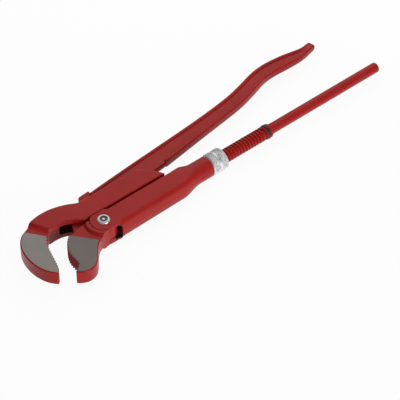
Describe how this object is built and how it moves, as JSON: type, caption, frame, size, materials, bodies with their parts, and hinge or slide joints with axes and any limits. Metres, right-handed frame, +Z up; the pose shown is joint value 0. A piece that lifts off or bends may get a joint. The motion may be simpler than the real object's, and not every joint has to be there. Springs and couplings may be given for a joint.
{
  "type": "pipe wrench",
  "caption": "Swedish-pattern pipe wrench: toothed S-jaws at 45 degrees, an I-beam handle, and a sleeve that a knurled nut drives along a round threaded handle.",
  "frame": {"origin": "middle of the tool's footprint on the bench it lies on, jaws as drawn", "axes": "+X from the jaws to the handle ends along the spindle, +Y towards the long arm, +Z up out of the bench"},
  "size_m": [0.4308, 0.1136, 0.0242],
  "materials": {
    "red_paint": "satin",
    "zinc": "zinc plated",
    "steel": "plain",
    "black_steel": "black oxide"
  },
  "bodies": {
    "arm": {"long_arm": "red_paint"},
    "spindle": {"spindle_rod": "red_paint", "stop_ring": "black_steel", "arm_pin": "steel"},
    "slider": {"sleeve": "red_paint", "jaw_rivet": "zinc", "nut_snap_ring": "steel"},
    "jaw": {"movable_jaw": "red_paint"},
    "nut": {"adjusting_nut": "zinc"}
  },
  "joints": [
    {"name": "handle_squeeze", "type": "hinge", "parent": "arm", "child": "spindle", "pos_m": [-0.06325, -0.017, 0.0121], "axis": [0, 0, 1], "range_deg": [0, 1.8]},
    {"name": "jaw_slide", "type": "slide", "parent": "spindle", "child": "slider", "axis": [1, 0, 0], "range_m": [-0.006, 0.046]},
    {"name": "jaw_rock", "type": "hinge", "parent": "slider", "child": "jaw", "pos_m": [-0.13325, -0.017, 0.0121], "axis": [0, 0, 1], "range_deg": [-10, 0]},
    {"name": "nut_turn", "type": "hinge", "parent": "slider", "child": "nut", "pos_m": [0, -0.017, 0.0121], "axis": [1, 0, 0], "range_deg": [-610, 4610]}
  ],
  "couplings": [
    {"joint": "jaw_rock", "follows": "handle_squeeze", "ratio": -5.5},
    {"joint": "nut_turn", "follows": "jaw_slide", "rad_per_m": 1745.3}
  ]
}
